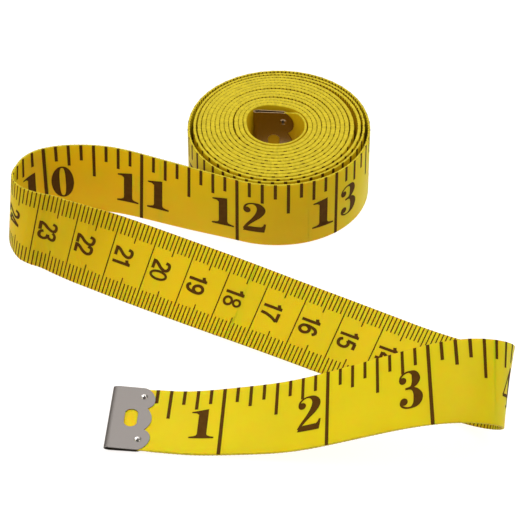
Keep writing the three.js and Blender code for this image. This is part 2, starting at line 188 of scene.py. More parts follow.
class Strip:
    """The strip's middle line. A place on it is its scale value: the millimetres from the scale's zero."""

    STEP = 0.25

    def __init__(self):
        free = self.follow_route()
        wound = self.follow_coil()
        rows = free[::-1] + wound + self.follow_core(wound[-1][0])
        self.scale = np.array([row[0] for row in rows])
        self.point = np.array([row[1] for row in rows]) + OFFSET
        self.along = np.array([row[2] for row in rows])
        self.across = np.array([row[3] for row in rows])
        self.turns = np.array([SCALE_AT_EXIT] + [row[0] for row in wound])
        self.first, self.last = self.scale[0], self.scale[-1]

    def follow_route(self):
        """Rows from the coil to the free end; along points to the free end."""
        stations = np.array(ROUTE, float)
        along = coil_point(-0.5) - coil_point(0.5)
        along /= np.linalg.norm(along)
        across = np.array([0.0, 0.0, 1.0])
        point = coil_point(0)
        rows = [(SCALE_AT_EXIT, point, along, across)]
        for step in range(round(ROUTE_LENGTH / self.STEP)):
            middle = (step + 0.5) * self.STEP
            turn = np.interp(middle, stations[:, 0], stations[:, 1])
            twist = np.interp(middle, stations[:, 0], stations[:, 2])
            spin = across * turn + along * twist
            size = np.linalg.norm(spin)
            before = along
            if size > 0:
                angle = math.radians(size * self.STEP / 10)
                along = rotated(along, spin / size, angle)
                across = rotated(across, spin / size, angle)
            way = before + along
            point = point + way * self.STEP / np.linalg.norm(way)
            rows.append((SCALE_AT_EXIT - (step + 1) * self.STEP, point, along, across))
        return [self.leaning(*row) for row in rows]

    def leaning(self, scale, point, along, across):
        """A row swayed about the strip's length."""
        stations = np.array(LEAN, float)
        lean = np.interp(SCALE_AT_EXIT - scale, stations[:, 0], stations[:, 1])
        pivot = np.interp(SCALE_AT_EXIT - scale, stations[:, 0], stations[:, 2])
        swayed = rotated(across, along, math.radians(lean))
        return scale, point + (across - swayed) * pivot * WIDTH, along, swayed

    def follow_coil(self):
        """Rows for each degree from just inside the exit to the first turn's start."""
        rows = []
        scale = SCALE_AT_EXIT
        last = coil_point(0)
        for angle in range(1, COIL_ANGLE + 1):
            point = coil_point(angle)
            way = coil_point(angle - 0.5) - coil_point(angle + 0.5)
            scale += float(np.linalg.norm(point - last))
            rows.append((scale, point, way / np.linalg.norm(way), np.array([0.0, 0.0, 1.0])))
            last = point
        return rows

    def follow_core(self, scale):
        """Rows of the inner end: a bend from the first turn, then straight to the inner tip."""
        turn = math.radians(CORE_HEADING - 90 - COIL_START_AZIMUTH)
        radius = (CORE_CHORD - COIL_START_RADIUS * math.cos(turn)) / (1 - math.cos(turn))
        start = math.radians(COIL_START_AZIMUTH)
        centre = (COIL_START_RADIUS - radius) * np.array([math.cos(start), math.sin(start), 0])
        up = np.array([0.0, 0.0, 1.0])
        rows = []
        steps = 24
        for i in range(1, steps + 1):
            azimuth = start + turn * i / steps
            out = np.array([math.cos(azimuth), math.sin(azimuth), 0])
            point = centre + radius * out + up * (WIDTH / 2 + COIL_RISE)
            rows.append((scale + radius * turn * i / steps, point, np.array([out[1], -out[0], 0]), up))
        scale, point, along, _ = rows[-1]
        for share in np.linspace(0, CORE_STRAIGHT, steps)[1:]:
            rows.append((scale + share, point - along * share, along, up))
        return rows

    def at_angle(self, angle):
        """The scale value at an angle wound back inwards from the coil's exit."""
        return float(np.interp(angle, range(COIL_ANGLE + 1), self.turns))

    def sections(self, scales):
        """Points, directions across and face directions at scale values."""

        def taken(values):
            return np.stack([np.interp(scales, self.scale, values[:, k]) for k in range(3)], 1)

        point, along, across = taken(self.point), taken(self.along), taken(self.across)
        along /= np.linalg.norm(along, axis=1, keepdims=True)
        across /= np.linalg.norm(across, axis=1, keepdims=True)
        return point, across, np.cross(across, along)

    def half_sizes(self, scales):
        """Half the drawn width and thickness at scale values: both are less inside the tips."""
        scales = np.asarray(scales, float)
        wound = smooth(*[self.at_angle(angle) for angle in WOUND_GROWS], scales)
        wound -= smooth(*[self.at_angle(COIL_ANGLE - angle) for angle in WOUND_FADES], scales)
        end = np.minimum(scales - self.first, self.last - scales)
        pinch = TIP_PINCH * (1 - smooth(*PINCH_FADES, end))
        trim = TIP_TRIM * (1 - smooth(*TRIM_FADES, end))
        thickness = THICKNESS - pinch + (WOUND_THICKNESS - THICKNESS) * wound
        return WIDTH / 2 - trim, thickness / 2

    def place(self, scale, side=0.0):
        """One point in metres: at a scale value and across the strip."""
        point, across, _ = self.sections([scale])
        return tuple((point[0] + across[0] * side) * MM)


strip = Strip()


# Camera: the photograph's view
PICTURE_SIZE = 520
FOCAL_LENGTH = 2644.85  # in the picture's points
SENSOR_WIDTH = 36
CAMERA_ELEVATION = 42.22
CAMERA_DISTANCE = 651.76
CAMERA_TARGET = (-4.22, -27.97, 0)  # from the coil's axis, on the floor


def make_camera():
    elevation = math.radians(CAMERA_ELEVATION)
    target = np.array(CAMERA_TARGET) + OFFSET
    back = np.array([0, -math.cos(elevation), math.sin(elevation)])
    camera = bpy.data.objects.new("camera", bpy.data.cameras.new("camera"))
    bpy.context.scene.collection.objects.link(camera)
    camera.location = (target + back * CAMERA_DISTANCE) * MM
    camera.rotation_mode = "QUATERNION"
    camera.rotation_quaternion = Vector(-back).to_track_quat("-Z", "Y")
    camera.data.sensor_width = SENSOR_WIDTH
    camera.data.lens = SENSOR_WIDTH * FOCAL_LENGTH / PICTURE_SIZE
    camera.data.clip_start = 0.01
    camera.data.clip_end = 20
    bpy.context.scene.camera = camera


make_camera()


# Materials
WEAVE_SCALE = 600.0
INK_TONES = [(66, 40, 3), (88, 57, 10)]
bpy.context.scene.view_settings.view_transform = "Standard"


def material(name, colour, roughness, **sockets):
    """A material, its nodes, their links and its shader. Other sockets are named with _ for each space."""
    made = bpy.data.materials.new(name)
    made.use_nodes = True
    shader = made.node_tree.nodes["Principled BSDF"]
    shader.inputs["Base Color"].default_value = (*colour, 1)
    shader.inputs["Roughness"].default_value = roughness
    for socket, value in sockets.items():
        shader.inputs[socket.replace("_", " ")].default_value = value
    return made, made.node_tree.nodes, made.node_tree.links, shader


def linear(*rgb):
    """An sRGB colour of 0 to 255 as linear values."""
    return tuple((c / 255 / 12.92) if c < 11 else ((c / 255 + 0.055) / 1.055) ** 2.4 for c in rgb)


def node(nodes, kind, **values):
    """A node with values for its sockets and settings."""
    made = nodes.new(kind)
    for name, value in values.items():
        if name in made.inputs:
            made.inputs[name].default_value = value
        else:
            setattr(made, name, value)
    return made


def tape_material(name, tones, grain, mottle, see_through):
    """Coated cloth: a faint weave under a smooth coat. Its tone changes along the strip, and some of its
    tones are painted shade and painted sheen.
    """
    made, nodes, links, shader = material(name, tones[0][1], 0.5)
    shader.inputs["Specular IOR Level"].default_value = 0.06
    shader.inputs["Subsurface Weight"].default_value = see_through
    shader.inputs["Subsurface Radius"].default_value = (2.2, 0.7, 0.05)
    shader.inputs["Subsurface Scale"].default_value = 0.0005
    place = node(nodes, "ShaderNodeUVMap", uv_map="strip")
    split = node(nodes, "ShaderNodeSeparateXYZ")
    colour = node(nodes, "ShaderNodeValToRGB")
    stops = colour.color_ramp.elements
    stops.remove(stops[1])
    stops[0].position = tones[0][0]
    stops[0].color = (*tones[0][1], 1)
    for metres, value in tones[1:]:
        stops.new(metres).color = (*value, 1)
    cloud = node(nodes, "ShaderNodeTexNoise", Scale=grain, Detail=4.0)
    shade = node(nodes, "ShaderNodeMapRange")
    shade.inputs["From Min"].default_value = 0.3
    shade.inputs["From Max"].default_value = 0.7
    shade.inputs["To Min"].default_value = 1 - mottle
    shade.inputs["To Max"].default_value = 1 + mottle
    tone = node(nodes, "ShaderNodeHueSaturation")
    links.new(place.outputs["UV"], split.inputs["Vector"])
    links.new(split.outputs["X"], colour.inputs["Fac"])
    links.new(place.outputs["UV"], cloud.inputs["Vector"])
    links.new(cloud.outputs["Fac"], shade.inputs["Value"])
    links.new(colour.outputs["Color"], tone.inputs["Color"])
    links.new(shade.outputs["Result"], tone.inputs["Value"])
    links.new(tone.outputs["Color"], shader.inputs["Base Color"])
    warp = node(nodes, "ShaderNodeTexWave", Scale=WEAVE_SCALE, wave_type="BANDS", bands_direction="X")
    weft = node(nodes, "ShaderNodeTexWave", Scale=WEAVE_SCALE, wave_type="BANDS", bands_direction="Y")
    weave = node(nodes, "ShaderNodeMath", operation="MAXIMUM")
    bump = node(nodes, "ShaderNodeBump", Strength=0.12, Distance=0.00003)
    links.new(place.outputs["UV"], warp.inputs["Vector"])
    links.new(place.outputs["UV"], weft.inputs["Vector"])
    links.new(warp.outputs["Fac"], weave.inputs[0])
    links.new(weft.outputs["Fac"], weave.inputs[1])
    links.new(weave.outputs["Value"], bump.inputs["Height"])
    links.new(bump.outputs["Normal"], shader.inputs["Normal"])
    return made


def ink_material():
    """Dull brown ink, a little uneven."""
    dark, light = [linear(*tone) for tone in INK_TONES]
    made, nodes, links, shader = material("ink", dark, 0.6)
    shader.inputs["Specular IOR Level"].default_value = 0.04
    place = node(nodes, "ShaderNodeUVMap", uv_map="strip")
    cloud = node(nodes, "ShaderNodeTexNoise", Scale=900.0, Detail=3.0)
    ramp = node(nodes, "ShaderNodeMix", data_type="RGBA")
    ramp.inputs[6].default_value = (*dark, 1)
    ramp.inputs[7].default_value = (*light, 1)
    links.new(place.outputs["UV"], cloud.inputs["Vector"])
    links.new(cloud.outputs["Fac"], ramp.inputs[0])
    links.new(ramp.outputs[2], shader.inputs["Base Color"])
    return made


def tip_material(name, colour, rough_from, rough_to):
    """Satin nickel plating with faint rolling marks."""
    made, nodes, links, shader = material(name, linear(*colour), rough_to, Metallic=1.0)
    place = node(nodes, "ShaderNodeTexCoord")
    stretch = node(nodes, "ShaderNodeMapping")
    stretch.inputs["Scale"].default_value = (120, 2400, 600)
    marks = node(nodes, "ShaderNodeTexNoise", Scale=1.0, Detail=5.0)
    rough = node(nodes, "ShaderNodeMapRange")
    rough.inputs["To Min"].default_value = rough_from
    rough.inputs["To Max"].default_value = rough_to
    bump = node(nodes, "ShaderNodeBump", Strength=0.08, Distance=0.00002)
    links.new(place.outputs["Object"], stretch.inputs["Vector"])
    links.new(stretch.outputs["Vector"], marks.inputs["Vector"])
    links.new(marks.outputs["Fac"], rough.inputs["Value"])
    links.new(rough.outputs["Result"], shader.inputs["Roughness"])
    links.new(marks.outputs["Fac"], bump.inputs["Height"])
    links.new(bump.outputs["Normal"], shader.inputs["Normal"])
    return made


# Tones of the cloth, and where they lie: metres from the scale's zero. The darker stop where the middle run
# bends into the left loop is painted shade. The darker stops on the coil's front and on its inner turns are
# painted shade. The paler span round the coil's outer turn is painted sheen.
FADED = (0.60, 0.50, 0.008)
WARM = (0.65, 0.49, 0.007)
# painted shade where the middle run bends into the left loop
SHADE_PAINTED_AT_BEND = (0.54, 0.385, 0.005)
FRESH = (0.66, 0.47, 0.005)
# painted shade on the coil's front and its inner turns
SHADE_PAINTED_ON_COIL = (0.58, 0.38, 0.004)
# painted sheen on the sides and back of the coil's outer turn
SHEEN_PAINTED_ON_COIL = (0.62, 0.49, 0.008)
FRAYED = (0.505, 0.395, 0.014)
TONES = [
    (0.12, FADED),
    (0.2, WARM),
    (0.228, SHADE_PAINTED_AT_BEND),
    (0.25, FRESH),
    (0.296, FRESH),
    (0.314, SHADE_PAINTED_ON_COIL),
    (0.324, SHADE_PAINTED_ON_COIL),
    (0.342, SHEEN_PAINTED_ON_COIL),
    (0.44, SHEEN_PAINTED_ON_COIL),
    (0.46, SHADE_PAINTED_ON_COIL),
]
TAPE = tape_material("tape_yellow", TONES, 60.0, 0.03, 1.0)
WOUND = tape_material("tape_wound", TONES, 60.0, 0.03, 0.0)
CUT_EDGE = tape_material("tape_cut_edge", [(0.0, FRAYED)], 1500.0, 0.15, 0.0)
INK = ink_material()
NICKEL = tip_material("satin_nickel", (124, 119, 116), 0.30, 0.44)
# The inner tip's nickel: smoother, and its warm tint is a painted reflection of the yellow strip round it in
# the coil's eye
NICKEL_WITH_PAINTED_REFLECTION = tip_material("nickel_with_painted_reflection", (150, 126, 96), 0.14, 0.22)
# Painted shade for the prick's hole and the wedges beside it: the dent's bottom is closed, and this dark
# colour stands in for the hole's shade
HOLE_SHADE_PAINT = material("painted_hole_shade", linear(40, 34, 30), 0.7)[0]
# Painted highlight: a paler nickel for the outer tip's dent flanks
NICKEL_PAINTED_HIGHLIGHT = tip_material("nickel_painted_highlight", (190, 186, 182), 0.2, 0.3)


# Pieces of the strip
END_PAIR = 0.02  # the distance between the two rings at each end of a stretch


def new_object(name, vertices, faces, materials, uvs=None, slots=None):
    mesh = bpy.data.meshes.new(name)
    mesh.from_pydata([tuple(v) for v in vertices], [], faces)
    for each in materials:
        mesh.materials.append(each)
    if uvs is not None:
        layer = mesh.uv_layers.new(name="strip")
        flat = np.asarray(uvs, np.float32)
        loops = np.empty(len(mesh.loops), np.int32)
        mesh.loops.foreach_get("vertex_index", loops)
        layer.data.foreach_set("uv", flat[loops].ravel())
    if slots is not None:
        mesh.polygons.foreach_set("material_index", slots)
    mesh.polygons.foreach_set("use_smooth", [True] * len(mesh.polygons))
    mesh.update()
    made = bpy.data.objects.new(name, mesh)
    bpy.context.scene.collection.objects.link(made)
    return made


def across_lines(spans):
    """Places across a face where the mesh has lines of points, with the rounded edges."""
    flat = WIDTH / 2 - EDGE
    return [-WIDTH / 2, -flat - EDGE / 2, *np.linspace(-flat, flat, spans + 1), flat + EDGE / 2, WIDTH / 2]


def around_edge(sides, half_width, half_thickness, lift):
    """Distances across and off the middle surface for places across a face and over its rounded edges."""
    sign = np.sign(sides)
    over = np.clip((np.abs(sides) - WIDTH / 2 + EDGE) / EDGE, 0, 1) * math.pi / 2
    flat = sign * np.minimum(np.abs(sides), WIDTH / 2 - EDGE) * (half_width - EDGE) / (WIDTH / 2 - EDGE)
    round_by = EDGE + lift
    return flat + sign * round_by * np.sin(over), half_thickness - EDGE + round_by * np.cos(over)


def scales_between(low, high, spacing):
    """Scale values of a stretch's rings. The close pair at each end lets its shading meet its neighbour's."""
    count = max(2, math.ceil((high - low) / spacing))
    inner = np.linspace(low, high, count + 1)
    return np.concatenate([[low, low + END_PAIR], inner[1:-1], [high - END_PAIR, high]])


def strip_piece(name, low, high, spacing, spans, cloth):
    """A closed stretch of the strip between two scale values, with cut edges along both sides."""
    lines = across_lines(spans)
    face = np.array(lines[::-1] + lines)
    sign = np.array([1] * len(lines) + [-1] * len(lines))
    scales = scales_between(low, high, spacing)
    point, across, off = strip.sections(scales)
    half_width, half_thickness = strip.half_sizes(scales)
    vertices, uvs, faces, slots = [], [], [], []
    for i, scale in enumerate(scales):
        side, height = around_edge(face, half_width[i], half_thickness[i], 0.0)
        vertices.extend((point[i] + np.outer(side, across[i]) + np.outer(height * sign, off[i])) * MM)
        uvs.extend((scale * MM, value * MM) for value in face)
    count, half = len(face), len(lines)
    edges = {half - 1, count - 1}
    for start in (0, half):
        edges |= {start, start + 1, start + half - 3, start + half - 2}
    for i in range(len(scales) - 1):
        for k in range(count):
            a, b = i * count + k, i * count + (k + 1) % count
            faces.append((a, b, b + count, a + count))
            slots.append(1 if k in edges else 0)
    faces.append(tuple(range(count))[::-1])
    faces.append(tuple(len(vertices) - count + k for k in range(count)))
    slots += [1, 1]
    made = new_object(name, vertices, faces, [cloth, CUT_EDGE], uvs, slots)
    for polygon in made.data.polygons[-2:]:
        polygon.use_smooth = False
    return made


# Numerals, on a height of 1. Strokes are lists of (x, y, width).
SERIF_WIDTH = 0.63
PLAIN_WIDTH = 0.62
PLAIN_STROKE = 0.172


def smooth_line(points, steps=6):
    """Points on a smooth line through the given ones."""
    knots = np.array([points[0], *points, points[-1]], float)
    line = []
    for before, start, end, after in zip(knots, knots[1:], knots[2:], knots[3:]):
        bend = 2 * before - 5 * start + 4 * end - after
        swing = 3 * start - before - 3 * end + after
        for k in range(steps):
            t = k / steps
            line.append(0.5 * (2 * start + (end - before) * t + bend * t**2 + swing * t**3))
    line.append(knots[-2])
    return np.array(line)


def stroke(points):
    """Quads along a line of changing width."""
    line = smooth_line(points)
    way = np.gradient(line[:, :2], axis=0)
    way /= np.linalg.norm(way, axis=1, keepdims=True)
    out = np.stack([-way[:, 1], way[:, 0]], 1) * line[:, 2:3] / 2
    left, right = line[:, :2] + out, line[:, :2] - out
    return [[left[i], right[i], right[i + 1], left[i + 1]] for i in range(len(line) - 1)]


def circle(x, y, radius, count=24):
    """Points round a circle."""
    turns = [2 * math.pi * k / count for k in range(count)]
    return [(x + radius * math.cos(t), y + radius * math.sin(t)) for t in turns]


def disc(x, y, radius):
    """A round end."""
    return [[np.array(point) for point in circle(x, y, radius, 20)]]


def ring_shape(x, y, wide, high, inner_wide, inner_high, square=1.0, count=40):
    """A closed ring with a narrower hole, which is squarer for a power under 1."""
    rims = []
    for i in range(count + 1):
        t = 2 * math.pi * i / count
        cos, sin = math.cos(t), math.sin(t)
        hole_x = math.copysign(abs(cos) ** square, cos) * inner_wide
        hole_y = math.copysign(abs(sin) ** square, sin) * inner_high
        rims.append((np.array([x + wide * cos, y + high * sin]), np.array([x + hole_x, y + hole_y])))
    return [[rim, hole, next_hole, next_rim] for (rim, hole), (next_rim, next_hole) in zip(rims, rims[1:])]


def outline(*points):
    """Triangles of a simple polygon."""
    flat = [Vector((x, y, 0)) for x, y in points]
    return [[np.array(points[k], float) for k in t] for t in tessellate_polygon([flat])]


def turned(shapes, width):
    """A numeral upside down."""
    return [[np.array([width - x, 1 - y]) for x, y in shape] for shape in shapes]


def serif_numerals():
    """Bold numerals with thick stems, hairlines and round ends."""
    numerals = {}
    numerals["0"] = ring_shape(0.315, 0.5, 0.315, 0.505, 0.085, 0.455, 0.75)
    numerals["1"] = (
        outline((0.20, 0.05), (0.44, 0.05), (0.44, 0.96), (0.02, 0.88), (0.02, 0.84), (0.14, 0.83),
                (0.2, 0.78))
        + outline((0.0, 0.0), (0.63, 0.0), (0.63, 0.05), (0.53, 0.07), (0.46, 0.1), (0.44, 0.15), (0.2, 0.15),
                  (0.18, 0.1), (0.11, 0.07), (0.0, 0.05))
    )
    numerals["2"] = (
        disc(0.115, 0.745, 0.1)
        + stroke([(0.04, 0.74, 0.06), (0.06, 0.86, 0.055), (0.16, 0.955, 0.05), (0.3, 0.98, 0.06),
                  (0.43, 0.915, 0.16), (0.495, 0.77, 0.235), (0.42, 0.59, 0.19), (0.28, 0.41, 0.12),
                  (0.13, 0.23, 0.085), (0.03, 0.06, 0.08)])
        + outline((0.0, 0.0), (0.58, 0.0), (0.63, 0.29), (0.575, 0.3), (0.545, 0.22), (0.5, 0.18),
                  (0.17, 0.17), (0.06, 0.13))
    )
    numerals["3"] = (
        disc(0.105, 0.765, 0.095)
        + stroke([(0.035, 0.77, 0.06), (0.055, 0.88, 0.055), (0.16, 0.965, 0.05), (0.29, 0.98, 0.06),
                  (0.41, 0.91, 0.17), (0.45, 0.77, 0.22), (0.40, 0.64, 0.16), (0.31, 0.56, 0.07),
                  (0.165, 0.535, 0.055)])
        + stroke([(0.165, 0.53, 0.055), (0.31, 0.525, 0.065), (0.42, 0.455, 0.16), (0.485, 0.29, 0.24),
                  (0.43, 0.12, 0.18), (0.3, 0.025, 0.06), (0.15, 0.03, 0.05), (0.05, 0.1, 0.06),
                  (0.035, 0.19, 0.06)])
        + disc(0.115, 0.195, 0.1)
    )
    numerals["4"] = (
        outline((0.34, 0.03), (0.54, 0.03), (0.54, 1.0), (0.47, 1.0), (0.34, 0.8))
        + stroke([(0.46, 0.99, 0.06), (0.25, 0.66, 0.055), (0.035, 0.305, 0.05)])
        + outline((0.0, 0.245), (0.63, 0.245), (0.63, 0.325), (0.0, 0.325))
        + outline((0.22, 0.0), (0.63, 0.0), (0.63, 0.05), (0.56, 0.08), (0.32, 0.08), (0.22, 0.05))
    )
    numerals["5"] = (
        outline((0.075, 0.99), (0.17, 0.965), (0.45, 0.965), (0.56, 1.0), (0.53, 0.86), (0.44, 0.795),
                (0.13, 0.795), (0.13, 0.52), (0.075, 0.5))
        + stroke([(0.1, 0.52, 0.05), (0.2, 0.605, 0.05), (0.31, 0.62, 0.06), (0.43, 0.55, 0.17),
                  (0.485, 0.34, 0.24), (0.43, 0.12, 0.18), (0.3, 0.025, 0.06), (0.15, 0.03, 0.05),
                  (0.05, 0.1, 0.06), (0.035, 0.19, 0.06)])
        + disc(0.115, 0.195, 0.1)
    )
    numerals["6"] = (
        stroke([(0.565, 0.79, 0.06), (0.53, 0.9, 0.055), (0.43, 0.97, 0.05), (0.33, 0.98, 0.06),
                (0.19, 0.87, 0.16), (0.125, 0.62, 0.23), (0.13, 0.32, 0.23), (0.2, 0.1, 0.15),
                (0.32, 0.02, 0.05), (0.45, 0.1, 0.15), (0.505, 0.29, 0.21), (0.45, 0.48, 0.14),
                (0.34, 0.56, 0.05), (0.22, 0.5, 0.05)])
        + disc(0.49, 0.785, 0.09)
    )
    numerals["7"] = (
        outline((0.02, 0.66), (0.065, 0.66), (0.1, 0.74), (0.17, 0.79), (0.6, 0.79), (0.63, 0.86),
                (0.63, 0.97), (0.1, 0.97), (0.09, 1.0), (0.05, 1.0))
        + stroke([(0.585, 0.84, 0.09), (0.45, 0.6, 0.11), (0.35, 0.35, 0.18), (0.325, 0.0, 0.25)])
    )
    numerals["8"] = (
        ring_shape(0.315, 0.755, 0.255, 0.245, 0.095, 0.2)
        + ring_shape(0.315, 0.265, 0.315, 0.275, 0.11, 0.225)
    )
    numerals["9"] = turned(numerals["6"], SERIF_WIDTH)
    return numerals


def plain_numerals():
    """Plain numerals of one stroke width."""

    def line(*points):
        return stroke([(x, y, PLAIN_STROKE) for x, y in points])

    numerals = {}
    numerals["0"] = ring_shape(0.31, 0.5, 0.3, 0.5, 0.155, 0.36)
    numerals["1"] = line((0.36, 0), (0.36, 0.5), (0.36, 1)) + line((0.38, 0.95), (0.27, 0.82), (0.12, 0.76))
    numerals["2"] = (
        line((0.09, 0.7), (0.14, 0.88), (0.31, 0.93), (0.48, 0.87), (0.53, 0.7), (0.42, 0.48), (0.22, 0.27),
             (0.1, 0.08))
        + line((0.04, 0.07), (0.3, 0.07), (0.58, 0.07))
    )
    numerals["3"] = (
        line((0.08, 0.76), (0.15, 0.89), (0.31, 0.93), (0.47, 0.87), (0.5, 0.73), (0.42, 0.58), (0.24, 0.53))
        + line((0.24, 0.53), (0.45, 0.47), (0.53, 0.3), (0.46, 0.13), (0.3, 0.07), (0.13, 0.12), (0.06, 0.27))
    )
    numerals["4"] = (
        line((0.44, 0), (0.44, 0.5), (0.44, 1))
        + line((0.42, 0.95), (0.23, 0.62), (0.06, 0.3))
        + line((0.02, 0.28), (0.3, 0.28), (0.6, 0.28))
    )
    numerals["5"] = (
        line((0.54, 0.93), (0.34, 0.93), (0.16, 0.93))
        + line((0.17, 0.96), (0.14, 0.74), (0.11, 0.5))
        + line((0.11, 0.52), (0.28, 0.6), (0.46, 0.54), (0.53, 0.34), (0.46, 0.14), (0.29, 0.07),
               (0.13, 0.12), (0.06, 0.25))
    )
    numerals["6"] = line((0.52, 0.79), (0.45, 0.9), (0.32, 0.93), (0.17, 0.82), (0.09, 0.5), (0.12, 0.2),
                         (0.3, 0.07), (0.47, 0.14), (0.53, 0.32), (0.46, 0.51), (0.3, 0.58), (0.15, 0.49),
                         (0.09, 0.36))
    numerals["7"] = (
        line((0.04, 0.93), (0.3, 0.93), (0.57, 0.93))
        + line((0.55, 0.92), (0.37, 0.62), (0.26, 0.3), (0.22, 0))
    )
    numerals["8"] = (
        ring_shape(0.31, 0.755, 0.26, 0.245, 0.125, 0.12)
        + ring_shape(0.31, 0.265, 0.3, 0.275, 0.155, 0.14)
    )
    numerals["9"] = turned(numerals["6"], PLAIN_WIDTH)
    return numerals


SERIF = serif_numerals()
PLAIN = plain_numerals()


# Print, as flat shapes of (scale value, across) on one face
PRINT_START = 9.0
PRINT_END = 1500.6
LIFT = 0.025  # the print stands this far off the strip
HIDDEN_REACH = 1.0  # how far down a face the print goes where the next turn covers it
HIDDEN_EDGE = 0.05  # how far short of the cut edge it stops there
SHOWN_ANGLE = 500  # how far in from the coil's exit the print is whole: past what unrolling lays bare

# The inch face: lines' lengths by eighth, as shares of the width, lines' thicknesses, and numerals
INCH = 25.4
EIGHTH = INCH / 8
EIGHTH_LENGTHS = {0: 1.0, 2: 0.305, 4: 0.465, 6: 0.305}
ODD_EIGHTH_LENGTH = 0.227
INCH_LINE = 0.85
EIGHTH_LINE = 0.78
INCH_NUMERAL = 0.475 * WIDTH
INCH_BASE = -0.29 * WIDTH
FIRST_INCH_BASE = -0.26 * WIDTH  # up to the fourth inch
ONE_DIGIT_PLACES = [-7.4]  # from the inch's line
TWO_DIGIT_PLACES = [-6.65, 1.5]

# The centimetre face
CENTIMETRE = 10
MILLIMETRE_LENGTH = 0.215
HALF_LENGTH = 0.275
MILLIMETRE_LINE = 0.29
CENTIMETRE_LINE = 0.28
CENTIMETRE_HEIGHT = 4.7
CENTIMETRE_WIDTH = 4.15
CENTIMETRE_ADVANCE = 2.4
CENTIMETRE_RAISE = 0.45
CENTIMETRE_GAP = 1.0  # from a numeral's foot to the line


def tick(scale, thickness, start, end):
    """A straight line of the scale."""
    half = thickness / 2
    corners = [(scale - half, start), (scale + half, start), (scale + half, end), (scale - half, end)]
    return [np.array(corner, float) for corner in corners]


def inch_print(low, high, shown):
    """Eighths along the top edge, whole inches across, and numerals. Past shown there are only line ends."""
    shapes = []
    first = math.ceil(max(low - 1, PRINT_START) / EIGHTH)
    last = math.floor(min(high + 1, PRINT_END) / EIGHTH)
    for k in range(first, last + 1):
        near = k * EIGHTH < shown
        reach = WIDTH * EIGHTH_LENGTHS.get(k % 8, ODD_EIGHTH_LENGTH) if near else HIDDEN_REACH
        top = WIDTH / 2 - (0 if near else HIDDEN_EDGE)
        thickness = INCH_LINE if k % 8 == 0 else EIGHTH_LINE
        shapes.append(tick(k * EIGHTH, thickness, WIDTH / 2 - reach, top))
    size = INCH_NUMERAL
    for number in range(max(1, math.floor(low / INCH) - 1), math.ceil(min(high, shown) / INCH) + 1):
        digits = str(number)
        places = ONE_DIGIT_PLACES if len(digits) == 1 else TWO_DIGIT_PLACES
        base = FIRST_INCH_BASE if number < 5 else INCH_BASE
        for digit, place in zip(digits, places):
            left = number * INCH + place
            for shape in SERIF[digit]:
                shapes.append([np.array([left + x * size, base + y * size]) for x, y in shape])
    return shapes


def centimetre_print(low, high, shown):
    """Millimetres along both edges, thin lines across at each centimetre, and numerals on their side."""
    shapes = []
    for k in range(math.floor(max(low, PRINT_START)), math.ceil(min(high, PRINT_END)) + 1):
        if k % CENTIMETRE == 0 and k < shown:
            shapes.append(tick(k, CENTIMETRE_LINE, -WIDTH / 2, WIDTH / 2))
            continue
        length = HALF_LENGTH if k % 5 == 0 else MILLIMETRE_LENGTH
        reach = WIDTH * length if k < shown else HIDDEN_REACH
        top = WIDTH / 2 - (0 if k < shown else HIDDEN_EDGE)
        shapes.append(tick(k, MILLIMETRE_LINE, WIDTH / 2 - reach, top))
        shapes.append(tick(k, MILLIMETRE_LINE, -top, -WIDTH / 2 + reach))
    height, width = CENTIMETRE_HEIGHT, CENTIMETRE_WIDTH
    first = max(1, math.floor(low / CENTIMETRE) - 1)
    last = math.ceil(min(high, shown) / CENTIMETRE)
    for number in range(first, last + 1):
        digits = str(number)
        foot = number * CENTIMETRE - CENTIMETRE_GAP
        top = CENTIMETRE_ADVANCE * len(digits) / 2 + CENTIMETRE_RAISE
        for i, digit in enumerate(digits):
            start = top - i * CENTIMETRE_ADVANCE
            for shape in PLAIN[digit]:
                shapes.append([np.array([foot - y * height, start - x * width]) for x, y in shape])
    return shapes


def clipped(shape, axis, low, high):
    """A convex shape cut to a span of scale values (axis 0) or of places across (axis 1)."""
    for limit, sign in ((low, 1), (high, -1)):
        kept = []
        for a, b in zip(shape, shape[1:] + shape[:1]):
            inside, next_inside = sign * (a[axis] - limit), sign * (b[axis] - limit)
            if inside >= 0:
                kept.append(a)
            if (inside > 0 > next_inside) or (inside < 0 < next_inside):
                kept.append(a + (b - a) * inside / (inside - next_inside))
        shape = kept
        if len(shape) < 3:
            return []
    return shape


def cut_up(shape, axis, lines):
    """The parts of a convex shape between lines."""
    low, high = min(p[axis] for p in shape), max(p[axis] for p in shape)
    first = max(0, int(np.searchsorted(lines, low, "right")) - 1)
    parts = []
    for a, b in zip(lines[first:], lines[first + 1 :]):
        if a >= high:
            break
        parts.append(clipped(shape, axis, a, b))
    return [part for part in parts if part]


def print_piece(name, shapes, low, high, face_sign, spacing, spans):
    """The print of one face of a stretch, laid on the strip along the strip's own lines of points."""
    bands, lines = scales_between(low, high, spacing), across_lines(spans)
    flat, faces = [], []
    for shape in shapes:
        for band in cut_up(shape, 0, bands):
            for part in cut_up(band, 1, lines):
                turn = sum(a[0] * b[1] - b[0] * a[1] for a, b in zip(part, part[1:] + part[:1]))
                corners = range(len(flat), len(flat) + len(part))
                faces.append(tuple(corners if (turn > 0) == (face_sign > 0) else corners[::-1]))
                flat += part
    if not flat:
        return None
    flat = np.array(flat)
    point, across, off = strip.sections(flat[:, 0])
    half_width, half_thickness = strip.half_sizes(flat[:, 0])
    side, height = around_edge(flat[:, 1], half_width, half_thickness, LIFT)
    vertices = (point + across * side[:, None] + off * (height * face_sign)[:, None]) * MM
    return new_object(name, vertices, faces, [INK], flat * MM)


# The stretches: each holds one joint at most, and they meet in the middle of the bodies in between
FOLD_ROOM = 1.4  # the strip ends this far inside a tip's folded end
FREE_CUTS = [50.5, 91.5, 102.5, 174.5, 243.5, 254.5, 284.5]  # scale values where the free stretches meet
PEEL_CUTS = [45, 75, 105, 137]  # angles in from the coil's exit where the unrolling stretches meet
CORE_CUT = 75  # angle out from the coil's inner start where the inner end begins


